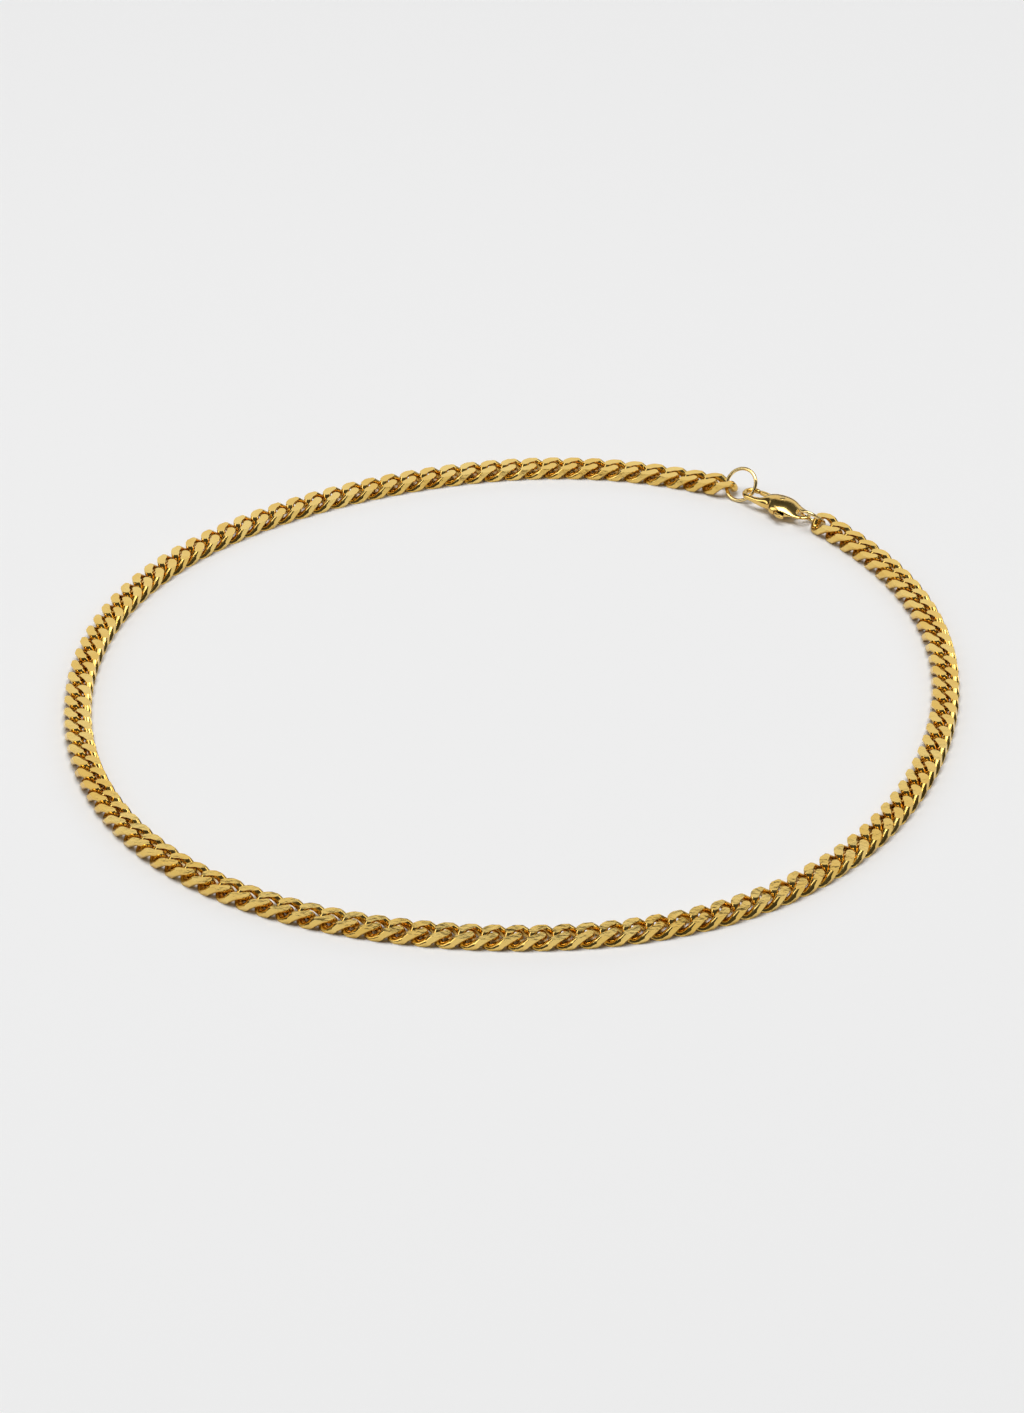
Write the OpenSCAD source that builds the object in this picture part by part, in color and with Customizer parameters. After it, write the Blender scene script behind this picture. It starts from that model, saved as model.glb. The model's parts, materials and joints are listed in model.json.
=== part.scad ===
// Curb chain necklace lying flat and fastened, in millimetres.
// Each link is a twisted oval of round wire, cut flat on its faces and along its edges.
// The chain runs clockwise, seen from above, from the connector ring round to the jump ring.

/* [Chain] */
// Number of three-link lengths in the chain
link_groups = 40; // [30:2:48]
// Diameter of the wire that the links are bent from
wire_d = 1.6; // [1.2:0.02:2]
// Free width inside a link beside the wire that passes through it
side_play = 0.5; // [0.44:0.02:1]
// Free length inside a link beside the two wires that pass through it
end_play = 1; // [0.9:0.02:1.8]
// Gap between the bends of neighbouring links
link_gap = 0.1; // [0.06:0.01:0.2]
// Rise of the strands above the middle of the chain, in wire diameters
twist_rise = 0.75; // [0.7:0.01:0.8]
// Depth that the flat faces are cut into the strands
face_cut = 0.85; // [0.4:0.01:0.9]
// Depth that the edge facets are cut in from the sides, at mid height
edge_cut = 0.08; // [0:0.02:0.3]
// Slant from upright of the facets cut along the edges, above and below mid height
edge_slant = 14; // [8:1:40]

/* [Loop] */
// Direction in which the chain sets off from the connector ring
start_heading = -45; // [-180:1:180]
// Swing of the chain's direction that makes the loop oval
oval_swing = 2.2; // [0:0.1:6]
// Place of the oval round the loop
oval_place = 107; // [-180:1:180]
// Swing of the chain's direction that makes the loop egg-shaped
egg_swing = 1.9; // [0:0.1:4]
// Place of the egg's point round the loop
egg_place = 130; // [-180:1:180]
// Swing of the chain's direction that makes the loop slightly square
square_swing = 1.7; // [0:0.1:4]
// Place of the corners round the loop
square_place = 96; // [-180:1:180]
// Swing of the chain's direction from five slack bends
slack_swing = 1.6; // [0:0.1:4]
// Place of the slack bends round the loop
slack_place = -88; // [-180:1:180]
// Height to which the jump ring lifts the end of the chain and the hook
end_lift = 0.8; // [0.7:0.05:1.2]
// Height to which the connector ring lifts the start of the chain and the tail of the clasp
start_lift = 0.35; // [0.3:0.05:0.6]

/* [Rings] */
// Outer diameter of the jump ring that the clasp hooks into
jump_ring_od = 7; // [6.4:0.1:9]
// Outer diameter of the connector ring between the clasp and the chain
connector_ring_od = 6; // [5.4:0.1:8]
// Wire diameter of both rings
ring_wire_d = 0.7; // [0.5:0.05:0.9]
// Lean of the jump ring from upright
jump_ring_lean = 38; // [20:1:50]
// Lean of the connector ring from upright, to the other side
connector_ring_lean = 42; // [36:1:46]
// Gap between a ring and whatever hangs in it
ring_play = 0.2; // [0.15:0.01:0.3]
// Further slack between the jump ring and the hook, and between the connector ring and the eyelet
ring_slack = 0.2; // [0.15:0.01:0.3]

/* [Clasp] */
// Length of the lobster clasp
clasp_l = 15.5; // [14:0.5:20]
// Width of the clasp across its belly
clasp_w = 6; // [5.4:0.1:7]
// Thickness of the clasp
clasp_t = 2.7; // [2.2:0.1:3.5]
// Wire diameter of the hook
hook_d = 1; // [0.8:0.05:1.3]
// Radius of the free space inside the hook
hook_inner_r = 1; // [0.95:0.01:1.3]
// Diameter of the hole in the tail eyelet
eyelet_d = 2.4; // [2.2:0.1:3]
// Wall round the eyelet
eyelet_wall = 0.6; // [0.5:0.05:1]
// Thickness of the eyelet
eyelet_t = 0.8; // [0.6:0.1:1.2]
// Thickness of the lever where it lies in the body
lever_t = 0.8; // [0.6:0.05:1.2]
// Diameter of the rivet that the lever turns on
rivet_d = 0.8; // [0.6:0.05:1.2]
// Gap between the lever and the rivet, all round
rivet_play = 0.06; // [0.02:0.01:0.1]
// Angle that the lever opens through
lever_travel = 14; // [8:1:16]
// Reach of the thumb tab past the side of the clasp
thumb_reach = 0.5; // [0.3:0.1:1]
// Thickness of the leaf spring
spring_t = 0.25; // [0.15:0.05:0.4]
// Gap round parts that move in the clasp
clasp_play = 0.12; // [0.08:0.01:0.2]

/* [Hidden] */
LINKS_IN_GROUP = 3;
GOLD = [0.80, 0.64, 0.30];
PALE_GOLD = [0.86, 0.74, 0.42];
STEEL = [0.62, 0.60, 0.56];

links = link_groups * LINKS_IN_GROUP;

// Link: half length, half width and rise of the middle of the wire
wire_r = wire_d / 2;
link_a = (2 * wire_d + end_play + wire_d) / 2;
link_b = (wire_d + side_play + wire_d) / 2;
link_rise = twist_rise * wire_d;
pitch = 2 * (link_a - wire_r - link_gap);
link_t = 2 * (link_rise + wire_r - face_cut);
link_w = 2 * (link_b + wire_r);
wire_sides = 8;
wire_rings = 12;

// Rings: radius of the middle of the wire, and height of the centre when it stands
ring_r = ring_wire_d / 2;
jump_r = (jump_ring_od - ring_wire_d) / 2;
connector_r = (connector_ring_od - ring_wire_d) / 2;
jump_z = jump_r * cos(jump_ring_lean) + ring_r;
connector_z = connector_r * cos(connector_ring_lean) + ring_r;

// Clasp, from the outside of the hook at x = 0 to the tail at x = clasp_l
hook_r = hook_d / 2;
hook_path_r = hook_inner_r + hook_r;
hook_x = hook_path_r + hook_r;
hook_tip_x = hook_x + 0.5;
tail_r = eyelet_d / 2 + eyelet_wall;
eyelet_x = clasp_l - tail_r;
belly_r = clasp_w / 2;
belly_x = eyelet_x - tail_r - belly_r * 0.9;
pivot = [belly_x - 0.6, 0.5];
gate_end = [hook_tip_x + clasp_play + hook_r, hook_path_r];
gate_knee = [pivot.x - 1.9, hook_path_r];
shoulder_x = pivot.x - 2.7;
mouth_end_x = gate_knee.x;
thumb_end = [pivot.x + 1.2, -belly_r - thumb_reach];
lever_boss_d = rivet_d + 1.1;
arm_w = 0.95;
slot_t = arm_w + 2 * clasp_play;
spring_near = [pivot.x + lever_boss_d / 2 + 0.62, -0.9];
spring_far = [eyelet_x - eyelet_d / 2 - 0.75, -0.35];
spring_end = clasp_play * unit(spring_far - spring_near);

// Width of a bar's straight sides, as a share of its round ends
side_share = 0.98;

// Heights of the pieces that the rings hold
end_wire_x = link_a - pitch / 2;
end_wire_z = link_t / 2 + end_lift + end_wire_x * (end_lift - lifted(end_lift, 2)) / pitch;
start_wire_z = link_t / 2 + start_lift + end_wire_x * (start_lift - lifted(start_lift, 2)) / pitch;
tail_z = clasp_t / 2 + start_lift;
hook_z = clasp_t / 2 + end_lift;

// The last three links rise in a curve to the height h that a ring holds them at
function lifted(h, n) = h * pow(max(0, n) / 3, 2);

// How far from its centre a ring holds a piece of half thickness half, at height z
function held(ring_path_r, centre_z, lean, half, z) =
    sqrt(pow(ring_path_r - ring_r - half - ring_play, 2) - pow((z - centre_z) / cos(lean), 2));

// Places along the straight line from the chain's last point to its first
jump_x = end_wire_x + held(jump_r, jump_z, jump_ring_lean, wire_r, end_wire_z);
clasp_x = jump_x + held(jump_r, jump_z, jump_ring_lean, hook_r + ring_slack, hook_z) - hook_r;
rim_r = norm([eyelet_wall, eyelet_t]) / 2 + ring_slack;
rim_x = clasp_x + clasp_l - eyelet_wall / 2;
connector_x = rim_x + held(connector_r, connector_z, connector_ring_lean, rim_r, tail_z);
gap_l = connector_x + end_wire_x
    + held(connector_r, connector_z, connector_ring_lean, wire_r, start_wire_z);
clasp_lean = asin((hook_z - tail_z) / (clasp_l - hook_r - eyelet_wall / 2));

// Direction of the chain at a distance s along the loop
loop_l = links * pitch + gap_l;
function turn(s) = 360 * s / loop_l;
function heading(s) = start_heading - turn(s)
    + oval_swing * cos(2 * turn(s) + oval_place)
    + egg_swing * cos(3 * turn(s) + egg_place)
    + square_swing * cos(4 * turn(s) + square_place)
    + slack_swing * cos(5 * turn(s) + slack_place);
function step(s, l) = l * [cos(heading(s + l / 2)), sin(heading(s + l / 2))];

// Points between the links, before and after the loop is closed and centred
raw = [for (k = 0, p = [0, 0]; k <= links; p = p + step(k * pitch, pitch), k = k + 1) p];
miss = raw[links] + step(links * pitch, gap_l);
closed = [for (k = [0 : links]) raw[k] - miss * k / (links + 1)];
x_all = [for (p = closed) p.x];
y_all = [for (p = closed) p.y];
middle = [(min(x_all) + max(x_all)) / 2, (min(y_all) + max(y_all)) / 2];
function lift(k) = lifted(end_lift, k - links + 3) + lifted(start_lift, 3 - k);
points = [for (k = [0 : links]) [closed[k].x - middle.x, closed[k].y - middle.y, lift(k)]];

function group_name(n) = str("chain_", n < 10 ? "0" : "", n);

// One point of the link's surface, cut back to the flat faces and the edge facets
function cut_edge(q, over) = over <= 0 ? q
    : q - over * [0, sign(q.y) * cos(edge_slant), sign(q.z) * sin(edge_slant)];
function cut_face(q) = [q.x, q.y, max(-link_t / 2, min(link_t / 2, q.z))];
function edge_over(q) = (abs(q.y) - link_w / 2 + edge_cut) * cos(edge_slant)
    + abs(q.z) * sin(edge_slant);
function unit(v) = v / norm(v);
function link_point(t) = [link_a * cos(t), link_b * sin(t), -link_rise * sin(2 * t)];
function link_along(t) = unit([-link_a * sin(t), link_b * cos(t), -2 * link_rise * cos(2 * t)]);
function link_out(t) = unit(cross(link_along(t), [0, 0, 1]));
function link_skin(t, f) = let (out = link_out(t), up = cross(out, link_along(t)),
    q = link_point(t) + wire_r * (cos(f) * out + sin(f) * up))
    cut_face(cut_edge(q, edge_over(q)));

module link() {
    skin = [for (i = [0 : wire_rings - 1]) for (j = [0 : wire_sides - 1])
        link_skin((i + 0.5) * 360 / wire_rings, (j + 0.5) * 360 / wire_sides)];
    function at(i, j) = (i % wire_rings) * wire_sides + j % wire_sides;
    faces = [for (i = [0 : wire_rings - 1]) for (j = [0 : wire_sides - 1])
        for (half = [0, 1]) half == 0
            ? [at(i, j), at(i, j + 1), at(i + 1, j + 1)]
            : [at(i, j), at(i + 1, j + 1), at(i + 1, j)]];
    polyhedron(skin, faces);
}

module on_path(k) {
    p = points[k];
    q = points[k + 1];
    d = q - p;
    translate((p + q) / 2 + [0, 0, link_t / 2])
        rotate([0, -atan2(d.z, norm([d.x, d.y])), atan2(d.y, d.x)])
            children();
}

module chain_group(n) {
    color(GOLD)
        for (k = [(n - 1) * LINKS_IN_GROUP : n * LINKS_IN_GROUP - 1])
            on_path(k) link();
}

// Frame of the fastening: x runs from the end of the chain to its start, z is up
module at_fastening(x) {
    p = points[links];
    q = points[0];
    translate([p.x, p.y, 0]) rotate([0, 0, atan2(q.y - p.y, q.x - p.x)])
        translate([x, 0, 0]) children();
}

module ring(path_r) {
    rotate_extrude($fn = 64) translate([path_r, 0]) circle(d = ring_wire_d, $fn = 24);
}

module jump_ring() {
    color(PALE_GOLD) at_fastening(jump_x)
        translate([0, (jump_z - end_wire_z) * tan(jump_ring_lean), jump_z])
            rotate([90 - jump_ring_lean, 0, 0]) ring(jump_r);
}

module connector_ring() {
    color(PALE_GOLD) at_fastening(connector_x)
        translate([0, -(connector_z - tail_z) * tan(connector_ring_lean), connector_z])
            rotate([90 + connector_ring_lean, 0, 0]) ring(connector_r);
}

// Frame of the clasp: x from the hook to the tail, the middle of its thickness at z = 0
module at_clasp() {
    at_fastening(clasp_x) translate([0, 0, hook_z]) rotate([0, clasp_lean, 0])
        children();
}

module strip_2d(p, q, w) {
    d = unit(q - p) * w / 2;
    side = [-d.y, d.x];
    polygon([p + side, q + side, q - side, p - side]);
}

// The sides stay a little inside the round ends, so that the three shapes cross cleanly
module bar_2d(p, q, w) {
    translate(p) circle(d = w, $fn = 32);
    translate(q) circle(d = w, $fn = 32);
    strip_2d(p, q, w * side_share);
}

module bar(p, q, d) {
    translate([p.x, p.y, 0]) sphere(d = d, $fn = 24);
    translate([q.x, q.y, 0]) sphere(d = d, $fn = 24);
    translate([p.x, p.y, 0]) rotate([0, 90, atan2(q.y - p.y, q.x - p.x)])
        cylinder(d = d, h = norm(q - p), $fn = 24);
}

module lever_2d(grow) {
    translate(pivot) circle(d = lever_boss_d + 2 * grow, $fn = 32);
    bar_2d(gate_knee, pivot, arm_w + 2 * grow);
    bar_2d(pivot, thumb_end, arm_w + 2 * grow);
}

module plate(t) {
    translate([0, 0, -t / 2]) linear_extrude(t) children();
}

module body_outline() {
    hull() {
        translate([shoulder_x, 0]) circle(r = belly_r * 0.66, $fn = 48);
        translate([belly_x, 0]) circle(r = belly_r, $fn = 64);
        translate([eyelet_x, 0]) circle(r = tail_r, $fn = 48);
    }
}

module clasp_body() {
    color(GOLD) at_clasp() difference() {
        union() {
            translate([hook_x, 0, 0]) rotate([0, 0, 90]) rotate_extrude(angle = 180, $fn = 64)
                translate([hook_path_r, 0]) circle(d = hook_d, $fn = 24);
            translate([hook_x, hook_path_r, 0]) rotate([0, 90, 0])
                cylinder(d = hook_d, h = hook_tip_x - hook_x, $fn = 24);
            bar([hook_x, -hook_path_r], [shoulder_x, -hook_path_r], hook_d);
            plate(clasp_t) difference() {
                body_outline();
                translate([0, -hook_inner_r]) square([mouth_end_x, clasp_w]);
            }
        }
        plate(clasp_t * 2) translate([eyelet_x, 0]) circle(d = eyelet_d, $fn = 48);
        for (side = [-1, 1]) translate([0, 0, side * (eyelet_t + clasp_t) / 2]) plate(clasp_t)
            translate([eyelet_x - eyelet_d / 2 - eyelet_wall / 2, -clasp_w / 2])
                square([clasp_l, clasp_w]);
        plate(slot_t) for (a = [0 : 2 : lever_travel])
            translate(pivot) rotate(a) translate(-pivot) lever_2d(clasp_play);
        plate(slot_t)
            strip_2d(spring_near - spring_end, spring_far + spring_end, spring_t + 2 * clasp_play);
        plate(clasp_t * 2) translate(pivot) circle(d = rivet_d, $fn = 32);
    }
}

module clasp_lever() {
    color(PALE_GOLD) at_clasp() difference() {
        union() {
            plate(lever_t) lever_2d(0);
            bar(gate_end, gate_knee, arm_w);
        }
        plate(clasp_t * 2) translate(pivot) circle(d = rivet_d + 2 * rivet_play, $fn = 32);
    }
}

module lever_rivet() {
    color(PALE_GOLD) at_clasp() plate(clasp_t) translate(pivot) circle(d = rivet_d, $fn = 32);
}

module lever_spring() {
    color(STEEL) at_clasp() plate(lever_t) strip_2d(spring_near, spring_far, spring_t);
}

for (n = [1 : link_groups])
    chain_group(n);
jump_ring();
connector_ring();
clasp_body();
clasp_lever();
lever_rivet();
lever_spring();
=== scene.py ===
import bmesh
import bpy
import json
import math
import numpy as np
from mathutils import Matrix, Vector


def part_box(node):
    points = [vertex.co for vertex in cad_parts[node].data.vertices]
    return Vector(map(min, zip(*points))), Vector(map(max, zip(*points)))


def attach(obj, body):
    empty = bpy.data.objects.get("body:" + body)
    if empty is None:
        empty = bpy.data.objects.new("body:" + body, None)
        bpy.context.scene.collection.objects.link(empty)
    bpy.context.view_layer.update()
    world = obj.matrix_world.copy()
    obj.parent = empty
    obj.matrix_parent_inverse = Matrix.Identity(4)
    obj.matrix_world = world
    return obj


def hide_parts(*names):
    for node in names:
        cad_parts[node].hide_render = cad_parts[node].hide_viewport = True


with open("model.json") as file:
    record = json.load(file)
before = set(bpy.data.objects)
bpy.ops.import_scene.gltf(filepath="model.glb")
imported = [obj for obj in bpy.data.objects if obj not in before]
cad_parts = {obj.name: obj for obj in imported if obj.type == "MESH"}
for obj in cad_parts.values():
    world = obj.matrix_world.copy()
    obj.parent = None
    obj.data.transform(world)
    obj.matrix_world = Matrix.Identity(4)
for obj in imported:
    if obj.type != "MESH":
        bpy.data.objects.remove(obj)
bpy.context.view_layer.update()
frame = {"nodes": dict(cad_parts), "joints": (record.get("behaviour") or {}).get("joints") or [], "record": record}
mm = 0.001
joints = {joint["name"]: joint for joint in frame["joints"]}
bodies = frame["record"]["behaviour"]["bodies"]
bodyOfNode = {node: body for body, nodes in bodies.items() for node in nodes}
print("frame loaded:", len(bodyOfNode), "nodes")


def linearColour(hexColour):
    channels = [int(hexColour[i:i + 2], 16) / 255 for i in (0, 2, 4)]
    return [c / 12.92 if c <= 0.04045 else ((c + 0.055) / 1.055) ** 2.4 for c in channels] + [1.0]


def addNode(tree, kind, sockets):
    node = tree.nodes.new(kind)
    for name, value in sockets.items():
        if isinstance(value, bpy.types.NodeSocket):
            tree.links.new(value, node.inputs[name])
        else:
            node.inputs[name].default_value = value
    return node


def looseObject(name, bm):
    mesh = bpy.data.meshes.new(name)
    bm.to_mesh(mesh)
    bm.free()
    made = bpy.data.objects.new(name, mesh)
    bpy.context.scene.collection.objects.link(made)
    return made


def finishPiece(piece, materials, node):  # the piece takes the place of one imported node
    for material in materials:
        piece.data.materials.append(material)
    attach(piece, bodyOfNode[node])
    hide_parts(node)


def smoothShaded(bm):
    for face in bm.faces:
        face.smooth = True


patches = {
    "tint": (0.35, 0.65), "gloss": (0.3, 0.7),  # parts of the noise's range that each spreads over
    "detail": 3.0, "grainDetail": 2.0,
}


def metalFinish(name, look):  # the tint and the gloss drift together over patches of cloudMm
    material = bpy.data.materials.new(name)
    material.use_nodes = True
    tree = material.node_tree
    shader = tree.nodes["Principled BSDF"]
    shader.inputs["Metallic"].default_value = 1.0
    place = addNode(tree, "ShaderNodeTexCoord", {})
    cloud = addNode(tree, "ShaderNodeTexNoise", {
        "Vector": place.outputs["Object"], "Scale": 1 / (look["cloudMm"] * mm),
        "Detail": patches["detail"]})
    tint = addNode(tree, "ShaderNodeValToRGB", {"Fac": cloud.outputs["Fac"]})
    deepStop, paleStop = tint.color_ramp.elements
    deepStop.position, paleStop.position = patches["tint"]
    deepStop.color, paleStop.color = linearColour(look["deep"]), linearColour(look["pale"])
    tree.links.new(tint.outputs["Color"], shader.inputs["Base Color"])
    gloss = addNode(tree, "ShaderNodeMapRange", {
        "Value": cloud.outputs["Fac"], "From Min": patches["gloss"][0], "From Max": patches["gloss"][1],
        "To Min": look["smooth"], "To Max": look["rough"]})
    tree.links.new(gloss.outputs["Result"], shader.inputs["Roughness"])
    grain = addNode(tree, "ShaderNodeTexNoise", {
        "Vector": place.outputs["Object"], "Scale": 1 / (look["grainMm"] * mm),
        "Detail": patches["grainDetail"]})
    bump = addNode(tree, "ShaderNodeBump", {
        "Height": grain.outputs["Fac"], "Strength": look["bump"], "Distance": look["reliefMm"] * mm})
    tree.links.new(bump.outputs["Normal"], shader.inputs["Normal"])
    return material


# Gold plate on drawn brass wire, tumbled: a soft gloss that still mirrors its neighbours
wireGold = metalFinish("TumbledGoldPlate", {
    "pale": "EAC873", "deep": "DDB258", "smooth": 0.12, "rough": 0.2,
    "cloudMm": 6, "grainMm": 0.35, "bump": 0.12, "reliefMm": 0.02})
# The same plate over faces cut with a diamond tool: mirrors with long, slight ripples
facetGold = metalFinish("DiamondCutGoldPlate", {
    "pale": "EFCF7C", "deep": "E4BC60", "smooth": 0.09, "rough": 0.15,
    "cloudMm": 8, "grainMm": 1.6, "bump": 0.9, "reliefMm": 0.05})
# Gold plate on cast brass: slight waves left by the casting under the polish
castGold = metalFinish("PolishedCastGoldPlate", {
    "pale": "EDCC7E", "deep": "E0B866", "smooth": 0.14, "rough": 0.22,
    "cloudMm": 4, "grainMm": 0.8, "bump": 0.2, "reliefMm": 0.02})
# Thin pale flash of gold on bright drawn wire, for the two rings and the rivet
flashGold = metalFinish("FlashGoldWire", {
    "pale": "F0D698", "deep": "E8C880", "smooth": 0.1, "rough": 0.16,
    "cloudMm": 3, "grainMm": 0.4, "bump": 0.08, "reliefMm": 0.02})
# Cold rolled strip: grey, with a fine grain and a dull gloss
springSteel = metalFinish("RolledSpringSteel", {
    "pale": "C9C7C2", "deep": "B4B1AB", "smooth": 0.28, "rough": 0.36,
    "cloudMm": 2, "grainMm": 0.1, "bump": 0.3, "reliefMm": 0.02})

link = {
    "length": 7.4 * mm,    # outside, along the chain
    "width": 5.3 * mm,     # before the edges are cut
    "cutWidth": 5.14 * mm,
    "thickness": 2.3 * mm,
    "wire": 1.6 * mm,
    "rise": 1.2 * mm,      # of the strands over the middle of the chain
    "edgeSlant": 14,       # of the edge facets from upright, in degrees
    "steps": 36,           # round the link
    "sides": 14,           # round its wire
}


def oneLink():
    bm = bmesh.new()
    wireRadius = link["wire"] / 2
    spinRadius = 4 * link["wire"]  # of the round ring, before it is shaped
    wireEnd = Matrix.Translation((spinRadius, 0, 0)) @ Matrix.Rotation(math.pi / 2, 4, "X")
    bmesh.ops.create_circle(bm, cap_ends=False, radius=wireRadius, segments=link["sides"],
                            matrix=wireEnd)
    bmesh.ops.spin(bm, geom=bm.verts[:] + bm.edges[:], cent=(0, 0, 0), axis=(0, 0, 1),
                   angle=2 * math.pi, steps=link["steps"], use_merge=True)
    halfLength = link["length"] / 2 - wireRadius
    halfWidth = link["width"] / 2 - wireRadius
    for vert in bm.verts:  # the round ring is pulled oval and twisted
        t = math.atan2(vert.co.y, vert.co.x)
        centre = Vector((halfLength * math.cos(t), halfWidth * math.sin(t),
                         -link["rise"] * math.sin(2 * t)))
        along = Vector((-halfLength * math.sin(t), halfWidth * math.cos(t),
                        -2 * link["rise"] * math.cos(2 * t)))
        out = along.cross(Vector((0, 0, 1))).normalized()
        up = out.cross(along).normalized()
        outwards = math.hypot(vert.co.x, vert.co.y) - spinRadius
        vert.co = centre + out * outwards + up * vert.co.z
    slant = math.radians(link["edgeSlant"])
    cuts = [((0, 0, side * link["thickness"] / 2), (0, 0, side)) for side in (-1, 1)]
    cuts += [((0, y * link["cutWidth"] / 2, 0), (0, y * math.cos(slant), z * math.sin(slant)))
             for y in (-1, 1) for z in (-1, 1)]
    for planePoint, planeNormal in cuts:  # flat-cut faces and edges, which get the second material
        bmesh.ops.bisect_plane(bm, geom=bm.verts[:] + bm.edges[:] + bm.faces[:], dist=1e-8,
                               plane_co=planePoint, plane_no=planeNormal, clear_outer=True)
        openEdges = [edge for edge in bm.edges if edge.is_boundary]
        for face in bmesh.ops.holes_fill(bm, edges=openEdges, sides=0)["faces"]:
            face.material_index = 1
    bmesh.ops.recalc_face_normals(bm, faces=bm.faces)
    for face in bm.faces:
        face.smooth = face.material_index == 0
    for edge in bm.edges:
        if any(face.material_index for face in edge.link_faces):
            edge.smooth = False
    return bm


def mainDirections(points):  # in columns, from the thinnest to the longest
    return np.linalg.eigh(np.cov((points - points.mean(0)).T))[1]


def linkPlaces(node):
    # Each link's middle, and its long, wide and upright directions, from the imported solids
    bm = bmesh.new()
    bm.from_mesh(frame["nodes"][node].data)
    bmesh.ops.remove_doubles(bm, verts=bm.verts, dist=1e-7)
    waiting = dict.fromkeys(bm.verts)  # in the mesh's own order, so every run gives the same links
    places = []
    while waiting:
        island = [waiting.popitem()[0]]
        for vert in island:
            for edge in vert.link_edges:
                other = edge.other_vert(vert)
                if other in waiting:
                    del waiting[other]
                    island.append(other)
        points = np.array([vert.co for vert in island], float)
        middle = points.mean(0)
        directions = mainDirections(points)
        along, up = Vector(directions[:, 2]), Vector(directions[:, 0])
        if up.z < 0:
            up = -up
        across = up.cross(along)
        places.append(Matrix.Translation(middle) @ Matrix((along, across, up)).transposed().to_4x4())
    bm.free()
    return places


linkMesh = bpy.data.meshes.new("link")
linkForm = oneLink()
linkForm.to_mesh(linkMesh)
print("one link:", len(linkForm.faces), "faces")
linkForm.free()

chainNodes = sorted(node for node in frame["nodes"] if node.startswith("chain_"))
for node in chainNodes:
    bm = bmesh.new()
    for place in linkPlaces(node):
        copy = linkMesh.copy()
        copy.transform(place)
        bm.from_mesh(copy)
        bpy.data.meshes.remove(copy)
    finishPiece(looseObject("links_" + node[-2:], bm), [wireGold, facetGold], node)
print("chain made:", len(chainNodes), "lengths")


rings = {  # outside size, and where the wire's ends meet, in degrees from the top
    "jump_ring": {"across": 7.0 * mm, "seamAt": 70},
    "connector_ring": {"across": 6.0 * mm, "seamAt": 250},
}
ringWire = {"wire": 0.7 * mm, "seam": 0.04 * mm, "endRound": 0.05 * mm, "steps": 72, "sides": 16}

for node, size in rings.items():
    points = np.array([vert.co for vert in frame["nodes"][node].data.vertices], float)
    lowest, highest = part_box(node)
    middle = (lowest + highest) / 2
    normal = Vector(mainDirections(points)[:, 0])
    steepest = (Vector((0, 0, 1)) - normal * normal.z).normalized()
    lay = Matrix((steepest, normal.cross(steepest), normal)).transposed().to_4x4()
    radius = (size["across"] - ringWire["wire"]) / 2
    bm = bmesh.new()
    wireEnd = Matrix.Translation((radius, 0, 0)) @ Matrix.Rotation(math.pi / 2, 4, "X")
    bmesh.ops.create_circle(bm, cap_ends=False, radius=ringWire["wire"] / 2,
                            segments=ringWire["sides"], matrix=wireEnd)
    bmesh.ops.spin(bm, geom=bm.verts[:] + bm.edges[:], cent=(0, 0, 0), axis=(0, 0, 1),
                   angle=2 * math.pi - ringWire["seam"] / radius, steps=ringWire["steps"],
                   use_merge=False)
    ends = [edge for edge in bm.edges if edge.is_boundary]
    bmesh.ops.holes_fill(bm, edges=ends, sides=0)
    bmesh.ops.recalc_face_normals(bm, faces=bm.faces)
    bmesh.ops.bevel(bm, geom=ends, offset=ringWire["endRound"], affect="EDGES", segments=2,
                    profile=0.5, material=-1)
    smoothShaded(bm)
    turn = Matrix.Rotation(math.radians(size["seamAt"]), 4, "Z")
    bmesh.ops.transform(bm, matrix=Matrix.Translation(middle) @ lay @ turn, verts=bm.verts)
    finishPiece(looseObject(node + "_wire", bm), [flashGold], node)
print("rings made")


# Clasp frame, in millimetres: x from the hook to the tail, y away from the spine,
# z through its thickness
pivotAt = Vector((8.6, 0.5, 0))  # the lever's
claspX = Vector(joints["clasp_roll"]["axis"]).normalized()
claspZ = Vector(joints["lever_turn"]["axis"]).normalized()
claspZ = (claspZ - claspX * claspZ.dot(claspX)).normalized()
claspTurn = Matrix((claspX, claspZ.cross(claspX), claspZ)).transposed().to_4x4()
claspPlace = (Matrix.Translation(Vector(joints["lever_turn"]["pos_m"])) @ claspTurn
              @ Matrix.Scale(mm, 4) @ Matrix.Translation(-pivotAt))


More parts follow.
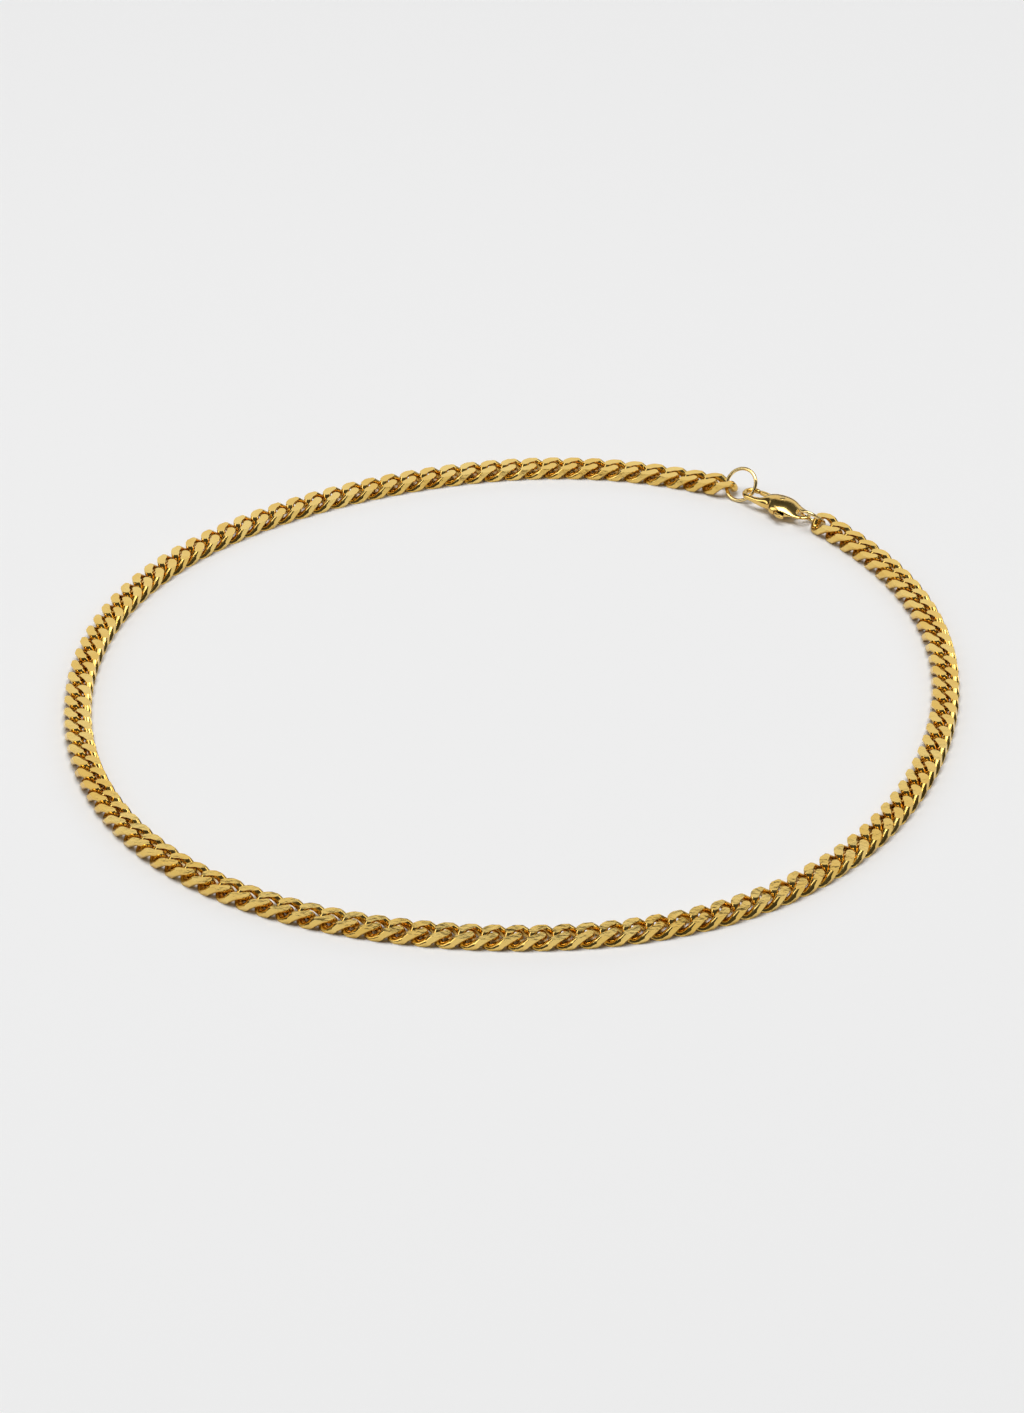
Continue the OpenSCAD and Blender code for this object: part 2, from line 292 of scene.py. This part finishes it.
def loft(stations, sides, squareness):
    # Draws a section out through the stations (x, y, half width, half thickness);
    # squareness 2 is an oval section, and more is boxier
    bm = bmesh.new()
    bmesh.ops.create_circle(bm, cap_ends=False, radius=1, segments=sides)
    for vert in bm.verts:
        for axis in (0, 1):
            vert.co[axis] = math.copysign(abs(vert.co[axis]) ** (2 / squareness), vert.co[axis])
    middles = [Vector((*station[:2], 0)) for station in stations]
    last = Matrix.Identity(4)
    loop = bm.edges[:]
    for i, (*_, halfWidth, halfThickness) in enumerate(stations):
        ahead = (middles[min(i + 1, len(middles) - 1)] - middles[max(i - 1, 0)]).normalized()
        side = Vector((-ahead.y, ahead.x, 0))
        lay = Matrix((side * halfWidth, Vector((0, 0, halfThickness)), ahead)).transposed().to_4x4()
        here = Matrix.Translation(middles[i]) @ lay
        if i:
            grown = bmesh.ops.extrude_edge_only(bm, edges=loop)["geom"]
            loop = [part for part in grown if isinstance(part, bmesh.types.BMEdge)]
            ring = [part for part in grown if isinstance(part, bmesh.types.BMVert)]
        else:
            ring = bm.verts[:]
        bmesh.ops.transform(bm, matrix=here @ last.inverted(), verts=ring)
        last = here
    bmesh.ops.holes_fill(bm, edges=[edge for edge in bm.edges if edge.is_boundary], sides=0)
    bmesh.ops.recalc_face_normals(bm, faces=bm.faces)
    smoothShaded(bm)
    return bm


def settle(made):  # leaves the modifiers' result as the mesh
    evaluated = made.evaluated_get(bpy.context.evaluated_depsgraph_get())
    result = bpy.data.meshes.new_from_object(evaluated)
    result.materials.clear()
    made.modifiers.clear()
    made.data = result


def smoothed(made, levels):
    subdivision = made.modifiers.new("smooth", "SUBSURF")
    subdivision.levels = subdivision.render_levels = levels
    settle(made)


def cutAway(made, cutters):
    box = bpy.data.collections.new("cutters")
    bpy.context.scene.collection.children.link(box)
    for cutter in cutters:
        bpy.context.scene.collection.objects.unlink(cutter)
        box.objects.link(cutter)
    cut = made.modifiers.new("cut", "BOOLEAN")
    cut.operation = "DIFFERENCE"
    cut.operand_type = "COLLECTION"
    cut.collection = box
    cut.solver = "EXACT"
    settle(made)
    for cutter in cutters:
        bpy.data.objects.remove(cutter)
    bpy.data.collections.remove(box)


cutterSize = {"height": 6, "sides": 48}  # taller than the clasp is thick


def roundCutter(name, x, y, radius):
    bm = bmesh.new()
    bmesh.ops.create_cone(bm, cap_ends=True, segments=cutterSize["sides"], radius1=radius,
                          radius2=radius, depth=cutterSize["height"],
                          matrix=Matrix.Translation((x, y, 0)))
    return looseObject(name, bm)


clasp = {
    "hookCentre": (2.0, 0.0), "hookRadius": 1.5,  # of the middle of the hook's wire
    "hookWire": 0.5,                              # its half thickness
    "eyelet": (13.7, 1.2),                        # its place along the clasp, and its radius
    "slotPlay": 0.12,                             # between the lever and the slot
    "sides": 24, "squareness": 2.15, "smoothing": 2,
    # The hook's tip: x, y, half width, half thickness
    "tip": [(2.8, 1.5, 0.16, 0.16), (2.72, 1.5, 0.34, 0.34), (2.5, 1.5, 0.47, 0.47)],
    # From the spine to the tail: x, y, half width, half thickness
    "stations": [
        (3.0, -1.5, 0.5, 0.55), (3.8, -1.5, 0.56, 0.66), (4.5, -1.45, 0.66, 0.8),
        (5.1, -1.3, 0.88, 0.95), (5.6, -1.0, 1.25, 1.1), (6.0, -0.65, 1.8, 1.25),
        (6.5, -0.25, 2.4, 1.4), (7.2, -0.05, 2.8, 1.5), (8.0, 0.0, 3.0, 1.53),
        (9.0, 0.0, 3.1, 1.52), (9.8, 0.0, 3.04, 1.45), (10.6, 0.0, 2.86, 1.24),
        (11.4, 0.0, 2.5, 0.88), (12.1, 0.0, 2.2, 0.64), (12.7, 0.0, 2.0, 0.48),
        (13.4, 0.0, 1.86, 0.43), (14.0, 0.0, 1.74, 0.42), (14.6, 0.0, 1.46, 0.4),
        (15.1, 0.0, 1.02, 0.36), (15.38, 0.0, 0.6, 0.3), (15.47, 0.0, 0.3, 0.2)],
}

lever = {
    "bore": 0.46,                                 # its radius
    "travel": 14,                                 # in degrees, as its joint's range
    "sides": 20, "squareness": 3.2, "smoothing": 2,
    # From the gate's tip through the pivot to the thumb tab: x, y, half width, half thickness
    "stations": [
        (2.72, 1.5, 0.2, 0.2), (2.8, 1.5, 0.34, 0.34), (3.0, 1.5, 0.44, 0.42),
        (3.6, 1.5, 0.47, 0.44), (5.2, 1.5, 0.47, 0.44), (6.4, 1.48, 0.48, 0.42),
        (7.3, 1.2, 0.58, 0.4), (8.0, 0.8, 0.76, 0.4), (8.6, 0.4, 0.86, 0.4),
        (8.9, -0.2, 0.66, 0.4), (9.02, -1.0, 0.46, 0.4), (9.28, -2.0, 0.46, 0.4),
        (9.6, -2.9, 0.46, 0.4), (10.1, -3.35, 0.38, 0.4), (10.9, -3.4, 0.32, 0.38),
        (11.5, -3.32, 0.24, 0.3), (11.68, -3.28, 0.12, 0.16)],
}


def leverForm(name, grow=0.0, turn=0.0):
    stations = [(x, y, w + grow, t + grow) for x, y, w, t in lever["stations"]]
    bm = loft(stations, lever["sides"], lever["squareness"])
    swing = Matrix.Rotation(math.radians(turn), 4, "Z")
    bmesh.ops.transform(bm, matrix=Matrix.Translation(pivotAt) @ swing @ Matrix.Translation(-pivotAt),
                        verts=bm.verts)
    return looseObject(name, bm)


hookX, hookY = clasp["hookCentre"]
stations = list(clasp["tip"])
for degrees in range(90, 271, 15):  # round the hook, from its tip to the spine
    angle = math.radians(degrees)
    stations.append((hookX + clasp["hookRadius"] * math.cos(angle),
                     hookY + clasp["hookRadius"] * math.sin(angle),
                     clasp["hookWire"], clasp["hookWire"]))
stations += clasp["stations"]
claspBody = looseObject("clasp_cast_body", loft(stations, clasp["sides"], clasp["squareness"]))
smoothed(claspBody, clasp["smoothing"])
# The slot clears the lever over its whole travel, so it is cut with the lever at every two degrees
cutters = [leverForm("slot", clasp["slotPlay"], turn) for turn in range(0, lever["travel"] + 1, 2)]
eyeletX, eyeletRadius = clasp["eyelet"]
cutters.append(roundCutter("eye", eyeletX, 0, eyeletRadius))
cutAway(claspBody, cutters)
claspBody.data.transform(claspPlace)
finishPiece(claspBody, [castGold], "clasp_body")

gate = leverForm("clasp_gate_lever")
smoothed(gate, lever["smoothing"])
cutAway(gate, [roundCutter("bore", pivotAt.x, pivotAt.y, lever["bore"])])
gate.data.transform(claspPlace)
finishPiece(gate, [castGold], "clasp_lever")

rivet = {
    "radius": 0.4, "headRadius": 0.62, "headRise": 0.16,
    "half": 1.42,           # from the middle of the clasp to the rim of the head
    "neck": 0.12,           # depth of the cone under the rim
    # The head's curve: share of its radius, share of its rise
    "dome": [(0, 1), (0.6, 0.8), (0.92, 0.35), (1, 0)],
    "steps": 40,
}
bm = bmesh.new()
profile = [(rivet["headRadius"] * out, rivet["half"] + rivet["headRise"] * up)
           for out, up in rivet["dome"]]
profile.append((rivet["radius"], rivet["half"] - rivet["neck"]))
profile += [(r, -z) for r, z in reversed(profile)]
verts = [bm.verts.new((r, 0, z)) for r, z in profile]
edges = [bm.edges.new(pair) for pair in zip(verts, verts[1:])]
bmesh.ops.spin(bm, geom=verts + edges, cent=(0, 0, 0), axis=(0, 0, 1), angle=2 * math.pi,
               steps=rivet["steps"], use_merge=True)
bmesh.ops.remove_doubles(bm, verts=bm.verts, dist=1e-5)
bmesh.ops.recalc_face_normals(bm, faces=bm.faces)
smoothShaded(bm)
bmesh.ops.transform(bm, matrix=claspPlace @ Matrix.Translation(pivotAt), verts=bm.verts)
finishPiece(looseObject("clasp_rivet", bm), [flashGold], "lever_rivet")

springNode = frame["nodes"]["lever_spring"]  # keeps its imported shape
springNode.data.materials.clear()
springNode.data.materials.append(springSteel)
print("clasp made")


studio = {
    "floor": "EFEFEF", "floorRough": 0.9, "floorSpecular": 0.1, "floorSize": 6.0,
    "world": 0.06,
    # Place and size in metres, then watts; each is aimed at the middle of the loop
    "softboxes": [
        ((0.0, 1.5, 0.7), (3.0, 0.71), 6.0),
        ((-1.3, -0.2, 0.9), (0.5, 1.5), 5),
        ((1.4, 0.3, 1.0), (0.5, 1.2), 4),
        ((0.0, -0.1, 1.8), (1.4, 1.0), 26)],
}

bm = bmesh.new()
bmesh.ops.create_grid(bm, x_segments=1, y_segments=1, size=studio["floorSize"] / 2)
floor = looseObject("floor", bm)
floorCard = bpy.data.materials.new("MattWhiteCard")
floorCard.use_nodes = True
shader = floorCard.node_tree.nodes["Principled BSDF"]
shader.inputs["Base Color"].default_value = linearColour(studio["floor"])
shader.inputs["Roughness"].default_value = studio["floorRough"]
shader.inputs["Specular IOR Level"].default_value = studio["floorSpecular"]
floor.data.materials.append(floorCard)

world = bpy.data.worlds.new("studio")
bpy.context.scene.world = world
world.use_nodes = True
sky = world.node_tree.nodes["Background"]
sky.inputs["Color"].default_value = (1, 1, 1, 1)
sky.inputs["Strength"].default_value = studio["world"]

for number, (place, size, watts) in enumerate(studio["softboxes"]):
    light = bpy.data.lights.new("softbox", "AREA")
    light.shape = "RECTANGLE"
    light.size, light.size_y = size
    light.energy = watts
    lamp = bpy.data.objects.new("softbox%d" % number, light)
    lamp.location = place
    lamp.rotation_euler = (-Vector(place)).to_track_quat("-Z", "Y").to_euler()
    bpy.context.scene.collection.objects.link(lamp)

camera = {
    "rise": 32.26,  # in degrees above the table
    "distance": 926.0 * mm, "aim": (-0.2 * mm, -6.65 * mm, 1.0 * mm),
    "lens": 180.6, "sensor": 36,
}
cameraData = bpy.data.cameras.new("camera")
cameraData.lens = camera["lens"]
cameraData.sensor_width = camera["sensor"]
cameraData.sensor_fit = "HORIZONTAL"
cameraObject = bpy.data.objects.new("camera", cameraData)
rise = math.radians(camera["rise"])
away = Vector((0, -math.cos(rise), math.sin(rise)))
cameraObject.location = Vector(camera["aim"]) + away * camera["distance"]
cameraObject.rotation_euler = (math.pi / 2 - rise, 0, 0)
bpy.context.scene.collection.objects.link(cameraObject)
bpy.context.scene.camera = cameraObject
bpy.context.scene.view_settings.view_transform = "Standard"
bpy.context.scene.view_settings.look = "None"
print("studio made")
